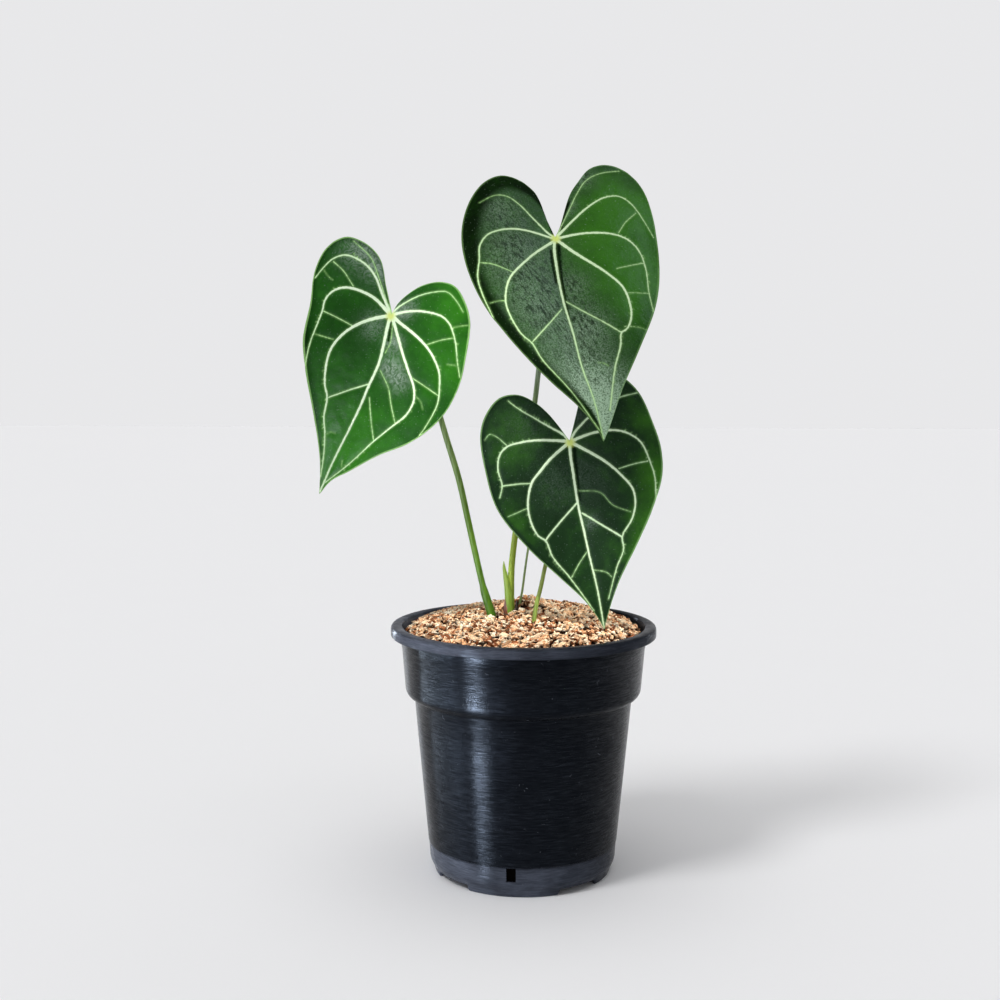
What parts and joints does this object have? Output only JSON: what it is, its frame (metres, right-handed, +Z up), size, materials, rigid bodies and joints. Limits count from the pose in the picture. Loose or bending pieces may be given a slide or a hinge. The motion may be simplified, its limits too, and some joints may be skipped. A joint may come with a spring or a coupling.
{
  "type": "potted anthurium clarinervium",
  "caption": "Aroid house plant with hanging heart-shaped dark green leaves and pale veins on slender petioles, rooted in coarse bark in a black round nursery pot",
  "frame": {"origin": "on the pot's axis at the level of the table; the flat underside of the pot's floor lies 2 mm above it", "axes": "+Z up along the pot's axis, the leaves' faces look along -Y, +X is to the right seen from in front"},
  "size_m": [0.2001, 0.15, 0.3991],
  "materials": {
    "pot": "satin",
    "bark": "matte",
    "dry_scale": "matte",
    "petiole": "satin",
    "blade": "matte"
  },
  "bodies": {
    "root": {"pot": "pot", "bark": "bark", "crown": "dry_scale", "petiole_top": "petiole", "petiole_left": "petiole", "petiole_low": "petiole", "young_stalk": "petiole", "leaf_top": "blade", "leaf_left": "blade", "leaf_low": "blade"}
  },
  "joints": []
}
